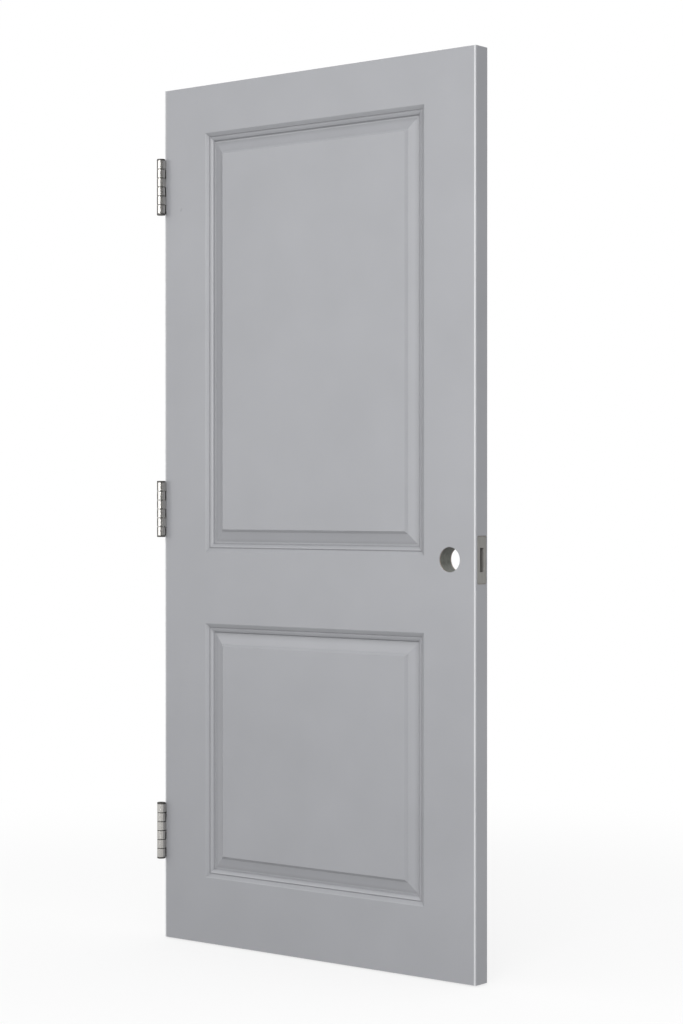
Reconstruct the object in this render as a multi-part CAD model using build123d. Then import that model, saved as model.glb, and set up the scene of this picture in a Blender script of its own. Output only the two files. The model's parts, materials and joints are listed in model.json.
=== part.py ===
from build123d import *
import os

# Hollow metal door leaf with two raised panels, three butt hinges, a lock bore and a latch plate.
# Millimetres. +X runs from the hinge edge to the lock edge, the front (pull) face looks along -Y, +Z is up.
# The origin is the middle of the seat face of the bottom hinge's frame leaf.

# Door leaf: net size for a 3 ft by 6 ft 8 in opening, 1 3/4 in thick
door_width = 908.0
door_height = 2010.0
door_thickness = 44.45
skin_gauge = 1.2
edge_bend_radius = 4.0
bend_clearance = 0.2

# Raised panels
hinge_stile = 130.0
lock_stile = 138.0
bottom_rail = 154.0
lower_panel_height = 596.0
lock_rail = 167.0
top_rail = 111.5

# Pressed moulding round each panel, from its outer line inwards: (distance in, depth below the face)
moulding_depth = 11.2
bevel_top_depth = 5.0
field_depth = 0.6
moulding_profile = [
    (1.8, 0.7),
    (5.0, 2.5),
    (8.6, 4.6),
    (9.7, 6.0),
    (11.4, 4.9),
    (14.8, 6.0),
    (18.4, 7.8),
    (21.4, moulding_depth),
    (25.0, moulding_depth),
    (47.4, bevel_top_depth),
]
moulding_width = 53.3
moulding_rim = 1.5
moulding_softness = 0.5

# End channels, set in with their open sides outwards
channel_gauge = 1.5
channel_depth = 25.0

# Core
core_hinge_gap = 14.0
core_lock_gap = 8.0
core_clearance = 0.5

# Lock preparation
bore_diameter = 54.0
bore_edge = 0.8
backset = 70.0
lock_height = 910.0
sleeve_wall = 2.0
plate_width = 31.75
plate_height = 101.6
plate_gauge = 2.3
plate_corner_radius = 3.2
plate_gap = 1.2
plate_edge = 0.5
slot_width = 13.0
slot_height = 52.0
slot_corner_radius = 1.5
collar_wall = 1.5
collar_length = 10.0
lock_box_height = 190.0
lock_box_length = 122.0
lock_box_web = 3.2
lock_box_wall = 2.4
collar_gap = 0.5

# Hinges: 5 in high, heavy gauge
hinge_height = 127.0
leaf_gauge = 4.8
leaf_depth = 38.1
leaf_spacing = 3.2
leaf_corner_radius = 3.0
knuckle_count = 6
knuckle_gap = 0.9
knuckle_edge = 0.6
barrel_diameter = 19.8
barrel_face_gap = 0.7
pin_diameter = 9.5
pin_clearance = 0.05
tip_height = 3.2
tip_lip = 1.2
plug_length = 6.0
plug_gap = 0.5
top_hinge_drop = 228.6
bottom_hinge_rise = 254.0
mortise_gap = 0.3

# Hinge screws, in a zigzag of four
screw_outer_spacing = 109.2
screw_inner_spacing = 51.2
screw_outer_inset = 9.5
screw_inner_inset = 22.2
screw_diameter = 5.5
screw_fit = 0.05
frame_hole_diameter = 6.0
screw_head_diameter = 11.0
countersink_diameter = 11.4
screw_head_depth = 2.8
screw_length = 12.0
screw_recess_width = 1.6
screw_recess_length = 6.0
screw_recess_depth = 1.2

# Hinge reinforcement
reinforcement_gauge = 4.8
reinforcement_margin = 30.0

# Places worked out from the sizes
hinge_edge = leaf_gauge + leaf_spacing
lock_edge = hinge_edge + door_width
front_face = -leaf_depth / 2
back_face = front_face + door_thickness
mid_plane = (front_face + back_face) / 2
door_bottom = -bottom_hinge_rise
door_top = door_bottom + door_height
inner_front = front_face + skin_gauge
inner_back = back_face - skin_gauge
bend_room = edge_bend_radius + bend_clearance
nest_radius = bend_room - skin_gauge
bore_x = lock_edge - backset
lock_z = door_bottom + lock_height
barrel_radius = barrel_diameter / 2
pin_x = leaf_gauge + leaf_spacing / 2
pin_y = front_face - barrel_face_gap - barrel_radius
hinge_places = {
    "top": door_top - top_hinge_drop,
    "middle": (door_top - top_hinge_drop) / 2,
    "bottom": 0.0,
}
panels = [
    (door_bottom + bottom_rail, door_bottom + bottom_rail + lower_panel_height),
    (door_bottom + bottom_rail + lower_panel_height + lock_rail, door_top - top_rail),
]
panel_left = hinge_edge + hinge_stile
panel_right = lock_edge - lock_stile


def block(x_range, y_range, z_range):
    """A box between two limits along each axis."""
    size = [high - low for low, high in (x_range, y_range, z_range)]
    corner = Pos(x_range[0], y_range[0], z_range[0])
    return corner * Box(*size, align=(Align.MIN, Align.MIN, Align.MIN))


def rod_z(radius, low, high):
    """A round bar along Z about the origin."""
    return Pos(0, 0, low) * Cylinder(radius, high - low, align=(Align.CENTER, Align.CENTER, Align.MIN))


def rod_y(radius, low, high):
    """A round bar along Y about the line of the lock bore."""
    middle = (low + high) / 2
    return Pos(bore_x, middle, lock_z) * Rot(90, 0, 0) * Cylinder(radius, high - low)


def moulding_section():
    """The pressed sheet's section across one side of a panel: X inwards, Y into the door."""
    start = (-moulding_rim, 0)
    crest = (0, 0)
    end = (moulding_width, field_depth)
    face_line = FilletPolyline(start, crest, *moulding_profile, end, radius=moulding_softness)
    rear_line = Pos(0, skin_gauge) * face_line
    outer_end = Line(face_line @ 0, rear_line @ 0)
    inner_end = Line(face_line @ 1, rear_line @ 1)
    return make_face([face_line, inner_end, rear_line, outer_end])


def moulding_side(length):
    """One mitred side of a panel moulding, along Z from its outer corner."""
    run = extrude(moulding_section(), length + 2 * moulding_rim, dir=(0, 0, 1))
    run = Pos(0, 0, -moulding_rim) * run
    mitre_outline = Plane.XZ * Polygon(
        (-moulding_rim, -moulding_rim),
        (-moulding_rim, length + moulding_rim),
        (moulding_width, length - moulding_width),
        (moulding_width, moulding_width),
        align=None,
    )
    mitre = Pos(0, -moulding_depth, 0) * extrude(mitre_outline, 3 * moulding_depth, dir=(0, 1, 0))
    return run & mitre


def panel_pressing(low, high):
    """The whole pressed panel between two heights: four mitred sides and the raised field."""
    height = high - low
    width = panel_right - panel_left
    upright = moulding_side(height)
    level = moulding_side(width)
    left = Plane((panel_left, front_face, low), x_dir=(1, 0, 0), z_dir=(0, 0, 1)) * upright
    right = Plane((panel_right, front_face, high), x_dir=(-1, 0, 0), z_dir=(0, 0, -1)) * upright
    top = Plane((panel_left, front_face, high), x_dir=(0, 0, -1), z_dir=(1, 0, 0)) * level
    bottom = Plane((panel_right, front_face, low), x_dir=(0, 0, 1), z_dir=(-1, 0, 0)) * level
    field = block(
        (panel_left + moulding_width, panel_right - moulding_width),
        (front_face + field_depth, front_face + field_depth + skin_gauge),
        (low + moulding_width, high - moulding_width),
    )
    return left + right + top + bottom + field


def front_pressing():
    """Front sheet with both panels and a flange along each long edge, before the hardware cuts."""
    depth = door_thickness / 2
    outline = Pos(hinge_edge, front_face) * Rectangle(door_width, depth, align=(Align.MIN, Align.MIN))
    outline = fillet(outline.vertices().group_by(Axis.Y)[0], edge_bend_radius)
    hollow = Pos(hinge_edge + skin_gauge, inner_front) * Rectangle(
        door_width - 2 * skin_gauge, depth, align=(Align.MIN, Align.MIN)
    )
    hollow = fillet(hollow.vertices().group_by(Axis.Y)[0], edge_bend_radius - skin_gauge)
    sheet = Pos(0, 0, door_bottom) * extrude(outline - hollow, door_height)
    for low, high in panels:
        sheet -= block(
            (panel_left - moulding_rim, panel_right + moulding_rim),
            (front_face - skin_gauge, inner_front + skin_gauge),
            (low - moulding_rim, high + moulding_rim),
        )
    for low, high in panels:
        sheet += panel_pressing(low, high)
    return sheet


def rounded_plate(width, height, thickness, radius):
    """A plate in the lock edge's plane, its outer face on the edge, rounded at its corners."""
    face = Plane((lock_edge, mid_plane, lock_z), x_dir=(0, 1, 0), z_dir=(1, 0, 0))
    return extrude(face * RectangleRounded(width, height, radius), -thickness)


def plate_pocket(depth):
    """The latch plate's place in the lock edge, grown by its gap."""
    width = plate_width + 2 * plate_gap
    height = plate_height + 2 * plate_gap
    return rounded_plate(width, height, depth, plate_corner_radius + plate_gap)


def bore_flare(face, outwards):
    """The edge break of the lock bore at one face of the door."""
    mouth = Plane((bore_x, face, lock_z), z_dir=(0, outwards, 0))
    return mouth * Cone(bore_diameter / 2, bore_diameter / 2 + 2 * bore_edge, 2 * bore_edge)


def hinge_cut(centre, gap):
    """The space of a door leaf in the hinge edge, open to the front, grown by a gap."""
    half = hinge_height / 2 + gap
    return block(
        (hinge_edge - barrel_radius, hinge_edge + leaf_gauge + gap),
        (front_face - barrel_radius, front_face + leaf_depth + gap),
        (centre - half, centre + half),
    )


def screw_places():
    """Places of a leaf's four screws: (depth in from the front face, height from the leaf's middle)."""
    outer = leaf_depth - screw_outer_inset
    inner = leaf_depth - screw_inner_inset
    return [
        (outer, screw_outer_spacing / 2),
        (inner, screw_inner_spacing / 2),
        (outer, -screw_outer_spacing / 2),
        (inner, -screw_inner_spacing / 2),
    ]


def countersunk(head_radius, shank_radius, length):
    """A countersunk screw form along +Z, its head's flat top on the origin's plane, pointing down."""
    head = Pos(0, 0, -screw_head_depth / 2) * Cone(shank_radius, head_radius, screw_head_depth)
    return head + rod_z(shank_radius, -length, -screw_head_depth / 2)


def leaf_screw_plane(x, centre, depth, rise, direction):
    """Plane on a leaf's inner face at a screw, with +Z out of the leaf."""
    return Plane((x, front_face + depth, centre + rise), x_dir=(0, 0, 1), z_dir=(direction, 0, 0))


def knuckle_ring(index):
    """One knuckle of the barrel with softened ends, counted from the top, about the origin's Z axis."""
    pitch = hinge_height / knuckle_count
    high = hinge_height / 2 - index * pitch - knuckle_gap / 2
    low = hinge_height / 2 - (index + 1) * pitch + knuckle_gap / 2
    if index == 0:
        high = hinge_height / 2
    if index == knuckle_count - 1:
        low = -hinge_height / 2
    ring = rod_z(barrel_radius, low, high)
    return chamfer(ring.edges().filter_by(GeomType.CIRCLE), knuckle_edge), low, high


def hinge_leaf(centre, side):
    """A hinge leaf with its knuckles. side is +1 for the door's leaf and -1 for the frame's."""
    inner_x = pin_x + side * leaf_spacing / 2
    outer_x = inner_x + side * leaf_gauge
    x_range = (min(inner_x, outer_x), max(inner_x, outer_x))
    half = hinge_height / 2
    plate = block(x_range, (front_face, front_face + leaf_depth), (-half, half))
    far_edges = plate.edges().filter_by(Axis.X).group_by(Axis.Y)[-1]
    leaf = fillet(far_edges, leaf_corner_radius)
    first = 0 if side > 0 else 1
    for index in range(first, knuckle_count, 2):
        ring, low, high = knuckle_ring(index)
        leaf += Pos(pin_x, pin_y) * ring
        leaf += block(x_range, (pin_y, front_face), (low, high))
    bore = pin_diameter / 2 + pin_clearance
    leaf -= Pos(pin_x, pin_y) * rod_z(bore, -half - tip_height, half + tip_height)
    leaf = Pos(0, 0, centre) * leaf
    hole_radius = screw_diameter / 2 + screw_fit if side > 0 else frame_hole_diameter / 2
    for depth, rise in screw_places():
        cutter = countersunk(countersink_diameter / 2, hole_radius, 2 * leaf_gauge)
        leaf -= leaf_screw_plane(inner_x, centre, depth, rise, -side) * cutter
    return leaf


def button(radius):
    """A low domed button that closes an end of the barrel, its flat side on the origin's plane."""
    disc = rod_z(radius, 0, tip_height)
    return fillet(disc.edges().group_by(Axis.Z)[-1], tip_lip)


def hinge_pin(centre):
    """The pin with its top button. It stops short of the plug that closes the barrel's foot."""
    half = hinge_height / 2
    foot = -half + plug_length + plug_gap
    pin = rod_z(pin_diameter / 2, foot, half)
    pin += Pos(0, 0, half) * button(barrel_radius)
    return Pos(pin_x, pin_y, centre) * pin


def bottom_tip(centre):
    """The plug and button that close the barrel's foot."""
    half = hinge_height / 2
    plug = rod_z(pin_diameter / 2, -half, -half + plug_length)
    plug += Pos(0, 0, -half) * Rot(180, 0, 0) * button(barrel_radius)
    return Pos(pin_x, pin_y, centre) * plug


def door_screws(centre):
    """The four flat-head screws of a door leaf, as separate solids."""
    screws = []
    for depth, rise in screw_places():
        screw = countersunk(screw_head_diameter / 2, screw_diameter / 2, screw_length)
        for turn in (0, 90):
            recess = Box(screw_recess_length, screw_recess_width, 2 * screw_recess_depth)
            screw -= Rot(0, 0, turn) * recess
        screws.append(leaf_screw_plane(hinge_edge, centre, depth, rise, -1) * screw)
    return Compound(children=screws)


def hinge_reinforcement(centre):
    """The heavy plate behind a door leaf, pocketed for the leaf and drilled for its screws."""
    half = hinge_height / 2 + reinforcement_margin
    plate = block(
        (hinge_edge + skin_gauge, hinge_edge + leaf_gauge + reinforcement_gauge),
        (front_face + bend_room, back_face - bend_room),
        (centre - half, centre + half),
    )
    plate -= block(
        (hinge_edge, hinge_edge + leaf_gauge),
        (front_face, front_face + leaf_depth + mortise_gap),
        (centre - hinge_height / 2 - mortise_gap, centre + hinge_height / 2 + mortise_gap),
    )
    for depth, rise in screw_places():
        hole = rod_z(screw_diameter / 2 + screw_fit, -2 * screw_length, 0)
        plate -= leaf_screw_plane(hinge_edge, centre, depth, rise, -1) * hole
    return plate


def end_channel(edge, direction):
    """A channel between the skins at one end, its web set in and its open side outwards."""
    web = edge - direction * channel_depth
    x_range = (hinge_edge + bend_room, lock_edge - bend_room)
    outer = block(x_range, (inner_front, inner_back), (min(edge, web), max(edge, web)))
    trough_edges = (web + direction * channel_gauge, edge + direction * channel_gauge)
    trough = block(
        x_range,
        (inner_front + channel_gauge, inner_back - channel_gauge),
        (min(trough_edges), max(trough_edges)),
    )
    return outer - trough


def lock_reinforcement():
    """A channel behind the lock edge: a web that nests in the skins' bends and a wall along each skin."""
    web_face = lock_edge - skin_gauge
    width = inner_back - inner_front
    towards_lock = (Align.MAX, Align.MIN)
    outline = Pos(web_face, inner_front) * Rectangle(lock_box_length, width, align=towards_lock)
    outline = fillet(outline.vertices().group_by(Axis.X)[-1], nest_radius)
    trough = Pos(web_face - lock_box_web, inner_front + lock_box_wall) * Rectangle(
        lock_box_length, width - 2 * lock_box_wall, align=towards_lock
    )
    box = Pos(0, 0, lock_z - lock_box_height / 2) * extrude(outline - trough, lock_box_height)
    box -= plate_pocket(plate_gauge)
    collar_reach = collar_length + lock_box_web
    collar_width = slot_width + 2 * (collar_wall + collar_gap)
    collar_height = slot_height + 2 * (collar_wall + collar_gap)
    box -= rounded_plate(collar_width, collar_height, collar_reach, slot_corner_radius + collar_wall)
    box -= rod_y(bore_diameter / 2, front_face, back_face)
    return box


def bore_sleeve():
    """The tube that lines the lock bore between the two walls, cut on the lock side for the latch."""
    low = inner_front + lock_box_wall
    high = inner_back - lock_box_wall
    sleeve = rod_y(bore_diameter / 2 + sleeve_wall, low, high)
    sleeve -= rod_y(bore_diameter / 2, low, high)
    latch_way = block(
        (bore_x, bore_x + bore_diameter),
        (mid_plane - slot_width / 2, mid_plane + slot_width / 2),
        (lock_z - slot_width, lock_z + slot_width),
    )
    return sleeve - latch_way


def latch_plate():
    """The plate in the lock edge, with a collar behind its slot."""
    plate = rounded_plate(plate_width, plate_height, plate_gauge, plate_corner_radius)
    collar_width = slot_width + 2 * collar_wall
    collar_height = slot_height + 2 * collar_wall
    plate += rounded_plate(collar_width, collar_height, collar_length, slot_corner_radius + collar_wall)
    plate -= rounded_plate(slot_width, slot_height, 2 * collar_length, slot_corner_radius)
    return chamfer(plate.edges().group_by(Axis.X)[-1], plate_edge)


def core():
    """The filling between the skins, relieved for the pressed panels, the channels and the lock box."""
    z_range = (door_bottom + channel_depth, door_top - channel_depth)
    filling = block(
        (hinge_edge + core_hinge_gap, lock_edge - core_lock_gap),
        (inner_front, inner_back),
        z_range,
    )
    for low, high in panels:
        for face, inwards in ((inner_front, 1), (inner_back, -1)):
            relief = moulding_depth + core_clearance
            groove_y = (min(face, face + inwards * relief), max(face, face + inwards * relief))
            field_y = (face + inwards * field_depth, face + inwards * relief)
            groove = block(
                (panel_left - core_clearance, panel_right + core_clearance),
                groove_y,
                (low - core_clearance, high + core_clearance),
            )
            groove -= block(
                (panel_left + moulding_width, panel_right - moulding_width),
                (min(field_y), max(field_y)),
                (low + moulding_width, high - moulding_width),
            )
            filling -= groove
    return filling - block(
        (lock_edge - skin_gauge - lock_box_length - core_clearance, lock_edge),
        (front_face, back_face),
        (lock_z - lock_box_height / 2 - core_clearance, lock_z + lock_box_height / 2 + core_clearance),
    )


def skins():
    """Front and back skins with the cuts for the hinges, the bore and the latch plate."""
    front = front_pressing()
    back = mirror(front, about=Plane((0, mid_plane, 0), z_dir=(0, 1, 0)))
    plate_cut = plate_pocket(2 * skin_gauge)
    bore_cut = rod_y(bore_diameter / 2, front_face, back_face)
    bore_cut += bore_flare(front_face, -1) + bore_flare(back_face, 1)
    finished = []
    for skin in (front, back):
        skin -= plate_cut
        skin -= bore_cut
        for centre in hinge_places.values():
            skin -= hinge_cut(centre, mortise_gap)
        finished.append(skin)
    return finished


front_skin, back_skin = skins()
pieces = {
    "front_skin": front_skin,
    "back_skin": back_skin,
    "top_channel": end_channel(door_top, 1),
    "bottom_channel": end_channel(door_bottom, -1),
    "core": core(),
    "lock_reinforcement": lock_reinforcement(),
    "bore_sleeve": bore_sleeve(),
    "latch_plate": latch_plate(),
}
for place, centre in hinge_places.items():
    pieces[place + "_hinge_door_leaf"] = hinge_leaf(centre, 1)
    pieces[place + "_hinge_frame_leaf"] = hinge_leaf(centre, -1)
    pieces[place + "_hinge_pin"] = hinge_pin(centre)
    pieces[place + "_hinge_bottom_tip"] = bottom_tip(centre)
    pieces[place + "_hinge_screws"] = door_screws(centre)
    pieces[place + "_hinge_reinforcement"] = hinge_reinforcement(centre)

os.makedirs("parts", exist_ok=True)
for name, piece in pieces.items():
    export_step(piece, "parts/" + name + ".step")
    print(name, round(piece.volume / 1000, 2), "cm3")
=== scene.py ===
import json
import math

import bmesh
import bpy
from mathutils import Matrix, Vector


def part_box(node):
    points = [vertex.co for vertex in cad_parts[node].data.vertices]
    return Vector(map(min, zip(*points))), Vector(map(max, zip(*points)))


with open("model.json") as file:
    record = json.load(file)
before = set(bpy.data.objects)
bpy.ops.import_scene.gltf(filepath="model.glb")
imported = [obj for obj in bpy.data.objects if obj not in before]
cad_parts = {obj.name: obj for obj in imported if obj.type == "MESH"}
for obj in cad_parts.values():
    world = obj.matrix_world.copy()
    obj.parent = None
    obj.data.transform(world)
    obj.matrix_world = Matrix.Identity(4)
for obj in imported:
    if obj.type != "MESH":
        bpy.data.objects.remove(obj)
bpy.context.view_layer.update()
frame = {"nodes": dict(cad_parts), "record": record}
scene = bpy.context.scene
scene.view_settings.view_transform = "Standard"

# places read off the frame, in metres
faceLow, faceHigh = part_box("front_skin")
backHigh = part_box("back_skin")[1]
hingeEdge, lockEdge = faceLow.x, faceHigh.x
doorFoot, doorTop = faceLow.z, faceHigh.z
frontFace, backFace = faceLow.y, backHigh.y
doorMiddle = Vector((hingeEdge + lockEdge, frontFace + backFace, doorFoot + doorTop)) / 2
print("frame loaded, leaf", round(lockEdge - hingeEdge, 3), "by", round(doorTop - doorFoot, 3))


def newMaterial(name):
    material = bpy.data.materials.new(name)
    material.use_nodes = True
    tree = material.node_tree
    coords = tree.nodes.new("ShaderNodeTexCoord")
    return material, tree, tree.nodes["Principled BSDF"], coords.outputs["Object"]


def addNoise(tree, coords, scale, detail, stretch=(1, 1, 1)):
    mapping = tree.nodes.new("ShaderNodeMapping")
    mapping.inputs["Scale"].default_value = stretch
    noise = tree.nodes.new("ShaderNodeTexNoise")
    noise.inputs["Scale"].default_value = scale
    noise.inputs["Detail"].default_value = detail
    tree.links.new(coords, mapping.inputs["Vector"])
    tree.links.new(mapping.outputs["Vector"], noise.inputs["Vector"])
    return noise.outputs["Fac"]


def addRamp(tree, source, stops):
    ramp = tree.nodes.new("ShaderNodeValToRGB")
    elements = ramp.color_ramp.elements
    while len(elements) < len(stops):
        elements.new(0.5)
    for element, (place, colour) in zip(elements, stops):
        element.position = place
        element.color = (*colour, 1.0)
    tree.links.new(source, ramp.inputs["Fac"])
    return ramp.outputs["Color"]


def addRange(tree, source, reach, low=0.0, high=1.0, kind="LINEAR", clamp=True):
    # takes a value that lies within reach to one between low and high
    spread = tree.nodes.new("ShaderNodeMapRange")
    spread.interpolation_type = kind
    spread.clamp = clamp
    spread.inputs["From Min"].default_value = reach[0]
    spread.inputs["From Max"].default_value = reach[1]
    spread.inputs["To Min"].default_value = low
    spread.inputs["To Max"].default_value = high
    tree.links.new(source, spread.inputs["Value"])
    return spread.outputs["Result"]


def addMath(tree, operation, value, factor=None):
    # factor is a plain number or another value
    result = tree.nodes.new("ShaderNodeMath")
    result.operation = operation
    tree.links.new(value, result.inputs[0])
    if isinstance(factor, float):
        result.inputs[1].default_value = factor
    elif factor is not None:
        tree.links.new(factor, result.inputs[1])
    return result.outputs[0]


def addPlace(tree, coords):
    place = tree.nodes.new("ShaderNodeSeparateXYZ")
    tree.links.new(coords, place.inputs["Vector"])
    return place.outputs


def addTone(tree, colour, amount):
    tone = tree.nodes.new("ShaderNodeVectorMath")
    tone.operation = "SCALE"
    tree.links.new(colour, tone.inputs[0])
    tree.links.new(amount, tone.inputs["Scale"])
    return tone.outputs["Vector"]


def addBump(tree, height, distance, under=None):
    bump = tree.nodes.new("ShaderNodeBump")
    bump.inputs["Strength"].default_value = 1.0
    bump.inputs["Distance"].default_value = distance
    tree.links.new(height, bump.inputs["Height"])
    if under is not None:
        tree.links.new(under, bump.inputs["Normal"])
    return bump.outputs["Normal"]


def addPaintedRecessShade(tree, colour, look):
    # painted shade: corners and grooves that little light reaches are darkened in the base colour, by
    # ambient occlusion over a short reach
    nearby = tree.nodes.new("ShaderNodeAmbientOcclusion")
    nearby.samples = 6
    nearby.only_local = True
    nearby.inputs["Distance"].default_value = look["paintedShadeReach"]
    amount = addRange(tree, nearby.outputs["AO"], look["paintedShadeRange"], look["paintedShadeTone"])
    return addTone(tree, colour, amount)


def addPaintedBendHighlight(tree, colour, coords, look):
    # painted highlight: a brighter line of paint along the bends of both long edges, in place of the
    # highlight on them
    halfWidth = (lockEdge - hingeEdge) / 2
    aside = addMath(tree, "SUBTRACT", addPlace(tree, coords)["X"], doorMiddle.x)
    fromMiddle = addMath(tree, "ABSOLUTE", aside)
    bend = addRange(tree, fromMiddle, (halfWidth - look["highlightReach"], halfWidth))
    line = addRamp(tree, bend, [(place, (amount,) * 3) for place, amount in look["highlightStops"]])
    mix = tree.nodes.new("ShaderNodeMix")
    mix.data_type = "RGBA"
    mix.inputs["B"].default_value = (*look["highlightColour"], 1)
    tree.links.new(line, mix.inputs["Factor"])
    tree.links.new(colour, mix.inputs["A"])
    return mix.outputs["Result"]


def shade(colour, amount):
    return tuple(min(1.0, c * amount) for c in colour)


# how much of a noise's range is used: all of it for slow drifts, its middle for crisp grain
softNoise = (0.1, 0.9)
crispNoise = (0.3, 0.7)


# factory paint on the pressed skins: satin, slightly clouded, with a fine orange peel
paintLook = {
    "colour": (0.366, 0.371, 0.392),
    "clouding": 0.05,        # how far the colour drifts either way
    "cloudSize": 0.16,       # metres
    "roughness": (0.27, 0.30),
    "streaks": 9.0,          # per metre, of the roughness
    "waves": 5.0,            # per metre, of the sheet
    "peelSize": 0.0016,      # metres between the bumps of the orange peel
    "peelDepth": 0.000012,
    "sheetWave": 0.00035,    # slow unevenness of the sheet
    # painted shade in grooves and corners: how far the occlusion looks, its range and the darkest painted
    # shade
    "paintedShadeReach": 0.014,    # metres
    "paintedShadeRange": (0.70, 1.0),   # openness, from the darkest tone to none
    "paintedShadeTone": 0.66,
    # painted highlight: a lighter line of paint along the bends of the long edges
    "highlightReach": 0.0055,     # metres in from the long edges
    "highlightStops": [(0.0, 0), (0.2, 1), (0.6, 1), (0.85, 0)],   # share of the bend's colour over that reach
    "highlightColour": (0.66, 0.665, 0.68),
}


def paintMaterial(name, look):
    material, tree, shader, coords = newMaterial(name)
    clouds = addNoise(tree, coords, 1 / look["cloudSize"], 3.0)
    low = shade(look["colour"], 1 - look["clouding"])
    high = shade(look["colour"], 1 + look["clouding"])
    clouded = addRamp(tree, clouds, [(softNoise[0], low), (softNoise[1], high)])
    # painted shade in the grooves and corners, over the clouded colour
    recessShaded = addPaintedRecessShade(tree, clouded, look)
    # painted highlight along the bends of the long edges
    tree.links.new(addPaintedBendHighlight(tree, recessShaded, coords, look), shader.inputs["Base Color"])
    streaks = addNoise(tree, coords, look["streaks"], 1.0)
    tree.links.new(addRange(tree, streaks, softNoise, *look["roughness"]), shader.inputs["Roughness"])
    wave = addNoise(tree, coords, look["waves"], 1.0)
    waved = addBump(tree, wave, look["sheetWave"])
    peel = addNoise(tree, coords, 1 / look["peelSize"], 1.0)
    tree.links.new(addBump(tree, peel, look["peelDepth"], under=waved), shader.inputs["Normal"])
    return material


# bare steel: hinges, screws and the latch plate
hingeLook = {
    "colour": (0.60, 0.585, 0.56),
    "shadeRange": (0.92, 1.05),
    "metal": 1.0,
    "roughness": (0.17, 0.20),
    "grain": 900.0,
    "stretch": (1, 1, 0.03),
    "grainDepth": 0.000001,
    "knuckles": 6,
    # painted shade at the joints of the barrel and at its ends
    "jointShadeWidth": 0.0014,    # metres, dark to either side of a joint of the barrel
    "jointShadeCore": 0.3,        # share of that width at the full tone
    "jointShadeTone": 0.25,
}
# pins darkened in colour, so that the gaps between the knuckles and the caps of the barrel show painted
# shade
pinShadeLook = {
    "colour": (0.13, 0.125, 0.12),
    "shadeRange": (0.86, 1.06),
    "metal": 0.8,
    "roughness": (0.35, 0.5),
    "grain": 900.0,
    "stretch": (1, 1, 1),
    "grainDepth": 0.000005,
}
plateLook = {
    "colour": (0.37, 0.363, 0.345),
    "shadeRange": (0.88, 1.1),
    "metal": 0.55,
    "roughness": (0.38, 0.55),
    "grain": 700.0,
    "stretch": (1, 1, 0.05),
    "grainDepth": 0.00001,
}
screwLook = {
    "colour": (0.55, 0.54, 0.52),
    "shadeRange": (0.85, 1.05),
    "metal": 1.0,
    "roughness": (0.28, 0.4),
    "grain": 900.0,
    "stretch": (1, 1, 1),
    "grainDepth": 0.00001,
}


def addPaintedJointShade(tree, colour, coords, look, foot, top):
    # painted shade: the joints between the knuckles and both ends of the barrel are darkened in the base
    # colour, standing in for the shade in the gaps
    pitch = (top - foot) / look["knuckles"]
    place = addPlace(tree, coords)
    along = addRange(tree, place["Z"], (foot, foot + pitch), clamp=False)
    nearest = addMath(tree, "PINGPONG", along, 0.5)
    width = look["jointShadeWidth"] / pitch
    dark = addRange(tree, nearest, (look["jointShadeCore"] * width, width), look["jointShadeTone"], kind="SMOOTHSTEP")
    # the flat leaves, behind the face, get no painted shade
    behind = addRange(tree, place["Y"], (frontFace - 0.001, frontFace))
    return addTone(tree, colour, addMath(tree, "MAXIMUM", dark, behind))


def steelMaterial(name, look, barrel=None):
    # barrel gives the foot and top of a hinge, for the painted shade at its joints
    material, tree, shader, coords = newMaterial(name)
    shader.inputs["Metallic"].default_value = look["metal"]
    grain = addNoise(tree, coords, look["grain"], 3.0, look["stretch"])
    low = shade(look["colour"], look["shadeRange"][0])
    high = shade(look["colour"], look["shadeRange"][1])
    colour = addRamp(tree, grain, [(crispNoise[0], low), (crispNoise[1], high)])
    if barrel is not None:
        colour = addPaintedJointShade(tree, colour, coords, look, *barrel)
    tree.links.new(colour, shader.inputs["Base Color"])
    tree.links.new(addRange(tree, grain, crispNoise, *look["roughness"]), shader.inputs["Roughness"])
    tree.links.new(addBump(tree, grain, look["grainDepth"]), shader.inputs["Normal"])
    return material


# primed steel inside the leaf: channels, reinforcements and the sleeve of the lock bore
primerGrain = {"flecks": 120.0, "grit": 1400.0, "gritDepth": 0.00002}   # per metre, and metres
channelLook = {"colour": (0.33, 0.335, 0.35), "fleck": 0.08, "roughness": (0.5, 0.65)}
primerLook = {"colour": (0.40, 0.33, 0.28), "fleck": 0.12, "roughness": (0.55, 0.75)}
sleeveLook = {"colour": (0.17, 0.175, 0.155), "fleck": 0.2, "roughness": (0.42, 0.6)}


def primerMaterial(name, look):
    material, tree, shader, coords = newMaterial(name)
    fleck = addNoise(tree, coords, primerGrain["flecks"], 5.0)
    low = shade(look["colour"], 1 - look["fleck"])
    high = shade(look["colour"], 1 + look["fleck"])
    tree.links.new(addRamp(tree, fleck, [(0.35, low), (0.65, high)]), shader.inputs["Base Color"])
    tree.links.new(addRange(tree, fleck, crispNoise, *look["roughness"]), shader.inputs["Roughness"])
    grit = addNoise(tree, coords, primerGrain["grit"], 2.0)
    tree.links.new(addBump(tree, grit, primerGrain["gritDepth"]), shader.inputs["Normal"])
    return material


# kraft board core
coreLook = {
    "colour": (0.46, 0.35, 0.22),
    "fibre": 0.12,
    "fibres": 260.0,         # per metre, across them
    "stretch": (0.25, 1, 1),
    "roughness": 0.9,
    "fibreDepth": 0.0002,
}


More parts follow.
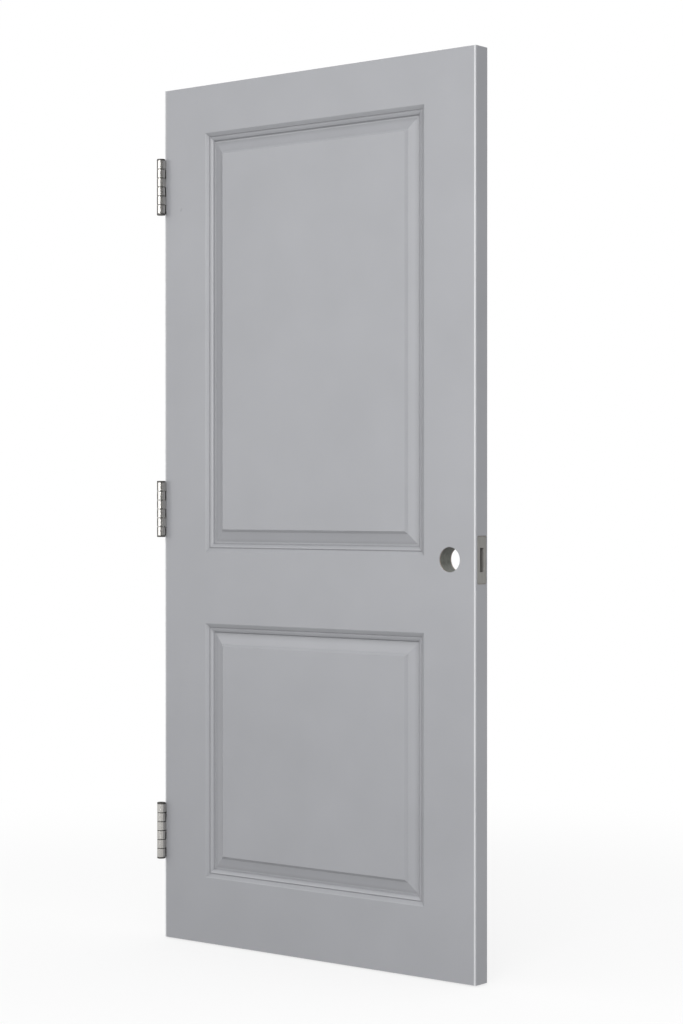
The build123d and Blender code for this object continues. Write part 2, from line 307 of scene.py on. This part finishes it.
def coreMaterial(name, look):
    material, tree, shader, coords = newMaterial(name)
    fibre = addNoise(tree, coords, look["fibres"], 6.0, look["stretch"])
    low = shade(look["colour"], 1 - look["fibre"])
    high = shade(look["colour"], 1 + look["fibre"])
    tree.links.new(
        addRamp(tree, fibre, [(crispNoise[0], low), (crispNoise[1], high)]), shader.inputs["Base Color"])
    shader.inputs["Roughness"].default_value = look["roughness"]
    tree.links.new(addBump(tree, fibre, look["fibreDepth"]), shader.inputs["Normal"])
    return material


finishes = {
    "door_paint": paintMaterial("doorPaint", paintLook),
    "plate_steel": steelMaterial("latchPlateSteel", plateLook),
    "screw_steel": steelMaterial("screwSteel", screwLook),
    "channel_steel": primerMaterial("channelPaint", channelLook),
    "primed_steel": primerMaterial("darkPrimer", primerLook),
    "sleeve_steel": primerMaterial("sleevePrimer", sleeveLook),
    "core_board": coreMaterial("kraftCore", coreLook),
}
for place in ("top", "middle", "bottom"):
    low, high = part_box(place + "_hinge_door_leaf")
    finishes[place] = steelMaterial(place + "HingeSteel", hingeLook, (low.z, high.z))
# the dark pins give painted shade in the joints and at the caps
finishes["pins"] = steelMaterial("pinSteelAndShade", pinShadeLook)
for row in frame["record"]["subparts"]:
    name, finish = row["node"], row["material_slot"]
    if finish == "hinge_steel":
        finish = name.split("_")[0] if name.endswith("leaf") else "pins"
    node = frame["nodes"][name]
    node.data.materials.clear()
    node.data.materials.append(finishes[finish])
print("finishes on", len(frame["nodes"]), "pieces")


# pale floor just under the leaf, white where the eye sees it away from the door
floorLook = {
    "gap": 0.003,         # between the floor and the foot of the leaf
    "size": 60.0,
    "colour": 0.22,       # of the light that falls on it
    "lift": 0.75,         # what the eye sees on top of that
    "shares": {"Is Camera Ray": 1.0, "Is Glossy Ray": 0.6},   # of the lift and the white
    "fade": (1.2, 3.0),   # metres from the door, over which the floor fades to white
}


def seenRays(tree, shares):
    # how much each kind of ray sees, 0 for the kinds left out
    rays = tree.nodes.new("ShaderNodeLightPath")
    seen = None
    for kind, share in shares.items():
        part = addMath(tree, "MULTIPLY", rays.outputs[kind], share)
        seen = part if seen is None else addMath(tree, "MAXIMUM", seen, part)
    return seen


def stageObject(name, mesh, material):
    data = bpy.data.meshes.new(name)
    mesh.to_mesh(data)
    mesh.free()
    data.materials.append(material)
    piece = bpy.data.objects.new(name, data)
    scene.collection.objects.link(piece)
    return piece


def mattMaterial(name, grey):
    # a plain grey that can also glow white
    material, tree, shader, coords = newMaterial(name)
    shader.inputs["Base Color"].default_value = (grey, grey, grey, 1)
    shader.inputs["Roughness"].default_value = 0.9
    shader.inputs["Specular IOR Level"].default_value = 0.0
    shader.inputs["Emission Color"].default_value = (1, 1, 1, 1)
    return material, tree, shader, coords


def floorMaterial(look, height):
    material, tree, shader, coords = mattMaterial("paleFloor", look["colour"])
    nodes, links = tree.nodes, tree.links
    seen = seenRays(tree, look["shares"])
    links.new(addMath(tree, "MULTIPLY", seen, look["lift"]), shader.inputs["Emission Strength"])
    # distance from the door, for the fade
    mapping = nodes.new("ShaderNodeMapping")
    mapping.inputs["Location"].default_value = (-doorMiddle.x, -doorMiddle.y, -height)
    reach = nodes.new("ShaderNodeVectorMath")
    reach.operation = "LENGTH"
    links.new(coords, mapping.inputs["Vector"])
    links.new(mapping.outputs["Vector"], reach.inputs[0])
    fade = addRange(tree, reach.outputs["Value"], look["fade"], kind="SMOOTHSTEP")
    white = nodes.new("ShaderNodeEmission")
    blend = nodes.new("ShaderNodeMixShader")
    links.new(addMath(tree, "MULTIPLY", fade, seen), blend.inputs["Fac"])
    links.new(shader.outputs["BSDF"], blend.inputs[1])
    links.new(white.outputs["Emission"], blend.inputs[2])
    links.new(blend.outputs["Shader"], nodes["Material Output"].inputs["Surface"])
    return material


def studioFloor(look):
    height = doorFoot - look["gap"]
    mesh = bmesh.new()
    bmesh.ops.create_grid(mesh, x_segments=1, y_segments=1, size=look["size"] / 2)
    bmesh.ops.translate(mesh, verts=mesh.verts, vec=(doorMiddle.x, doorMiddle.y, height))
    return stageObject("studioFloor", mesh, floorMaterial(look, height))


# dark curtains and bright cards round the set, seen only in the gloss of steel and paint;
# azimuths in degrees, from straight before the face towards the lock side
curtainLook = {
    "radius": 14.0,
    "step": 4.0,           # degrees
    "grey": 0.03,
    "pieces": {
        "brightCard": {"from": -57.0, "to": 4.0, "height": 8.0, "glow": 1.8},
        "brightStrip": {"from": 4.0, "to": 11.0, "height": 8.0, "glow": 9.0},
        "darkCurtain": {"from": 12.0, "to": 56.0, "height": 12.0, "glow": 0.0},
        "fillCard": {"from": 56.0, "to": 74.0, "height": 12.0, "glow": 0.75},
        "darkSide": {"from": 74.0, "to": 124.0, "height": 12.0, "glow": 0.0},
        "sideCard": {"from": 124.0, "to": 160.0, "height": 12.0, "glow": 0.2},
        "backCard": {"from": 160.0, "to": 212.0, "height": 12.0, "glow": 0.9},
        "darkBack": {"from": 212.0, "to": 300.0, "height": 12.0, "glow": 0.06},
        "darkHeader": {"from": -62.0, "to": 12.0, "low": 8.0, "height": 12.0, "glow": 0.0},
    },
}


def curtains(look):
    for name, piece in look["pieces"].items():
        material, tree, shader, coords = mattMaterial(name, look["grey"])
        shader.inputs["Emission Strength"].default_value = piece["glow"]
        mesh = bmesh.new()
        foot = mesh.verts.new((0, -look["radius"], piece.get("low", 0.0)))
        head = mesh.verts.new((0, -look["radius"], piece["height"]))
        edge = mesh.edges.new((foot, head))
        start = Matrix.Rotation(math.radians(piece["from"]), 3, "Z")
        bmesh.ops.rotate(mesh, verts=mesh.verts, cent=(0, 0, 0), matrix=start)
        turn = piece["to"] - piece["from"]
        bmesh.ops.spin(
            mesh, geom=[foot, head, edge], cent=(0, 0, 0), axis=(0, 0, 1),
            angle=math.radians(turn), steps=round(turn / look["step"]), use_merge=False,
        )
        bmesh.ops.translate(mesh, verts=mesh.verts, vec=(doorMiddle.x, doorMiddle.y, doorFoot))
        curtain = stageObject(name, mesh, material)
        curtain.visible_camera = False
        curtain.visible_diffuse = False
        curtain.visible_transmission = False
        curtain.visible_shadow = False


# one large soft light from the right of the front, a little raised, in an even white room
keyLook = {"azimuth": 29.0, "elevation": 12.0, "distance": 5.5, "size": 2.8, "power": 150.0}
roomLight = 0.89


def aimedAt(place, target):
    return (target - place).to_track_quat("-Z", "Y").to_euler()


def keyLight(look):
    turn, rise = math.radians(look["azimuth"]), math.radians(look["elevation"])
    away = Vector((math.sin(turn) * math.cos(rise), -math.cos(turn) * math.cos(rise), math.sin(rise)))
    lamp = bpy.data.lights.new("keyLight", "AREA")
    lamp.shape = "SQUARE"
    lamp.size = look["size"]
    lamp.energy = look["power"]
    light = bpy.data.objects.new("keyLight", lamp)
    light.location = doorMiddle + away * look["distance"]
    light.rotation_euler = aimedAt(light.location, doorMiddle)
    light.visible_glossy = False
    scene.collection.objects.link(light)


def studioWorld(strength):
    world = bpy.data.worlds.new("studio")
    world.use_nodes = True
    tree = world.node_tree
    room = tree.nodes["Background"]
    room.inputs["Color"].default_value = (1, 1, 1, 1)
    room.inputs["Strength"].default_value = strength
    backdrop = tree.nodes.new("ShaderNodeBackground")
    backdrop.inputs["Color"].default_value = (1, 1, 1, 1)
    mix = tree.nodes.new("ShaderNodeMixShader")
    seen = seenRays(tree, {"Is Camera Ray": 1.0, "Is Glossy Ray": 1.0, "Is Transmission Ray": 1.0})
    tree.links.new(seen, mix.inputs["Fac"])
    tree.links.new(room.outputs["Background"], mix.inputs[1])
    tree.links.new(backdrop.outputs["Background"], mix.inputs[2])
    tree.links.new(mix.outputs["Shader"], tree.nodes["World Output"].inputs["Surface"])
    scene.world = world


studioFloor(floorLook)
curtains(curtainLook)
keyLight(keyLook)
studioWorld(roomLight)
print("floor and lights set")


# the camera: level with the middle of the leaf, to the right of its front
cameraLook = {
    "fromHingeEdge": 3.8072,   # metres along the door's width
    "beforeFace": 4.0611,      # metres in front of the face
    "aboveFoot": 1.0362,
    "turn": 38.82,             # degrees, from straight at the face towards the hinges
    "tilt": -0.266,
    "lens": 82.02,
}


def mainCamera(look):
    data = bpy.data.cameras.new("mainCamera")
    data.lens = look["lens"]
    data.clip_end = 200.0
    camera = bpy.data.objects.new("mainCamera", data)
    camera.location = (
        hingeEdge + look["fromHingeEdge"],
        frontFace - look["beforeFace"],
        doorFoot + look["aboveFoot"],
    )
    camera.rotation_euler = (math.radians(90 + look["tilt"]), 0, math.radians(look["turn"]))
    scene.collection.objects.link(camera)
    scene.camera = camera


mainCamera(cameraLook)
print("camera set")
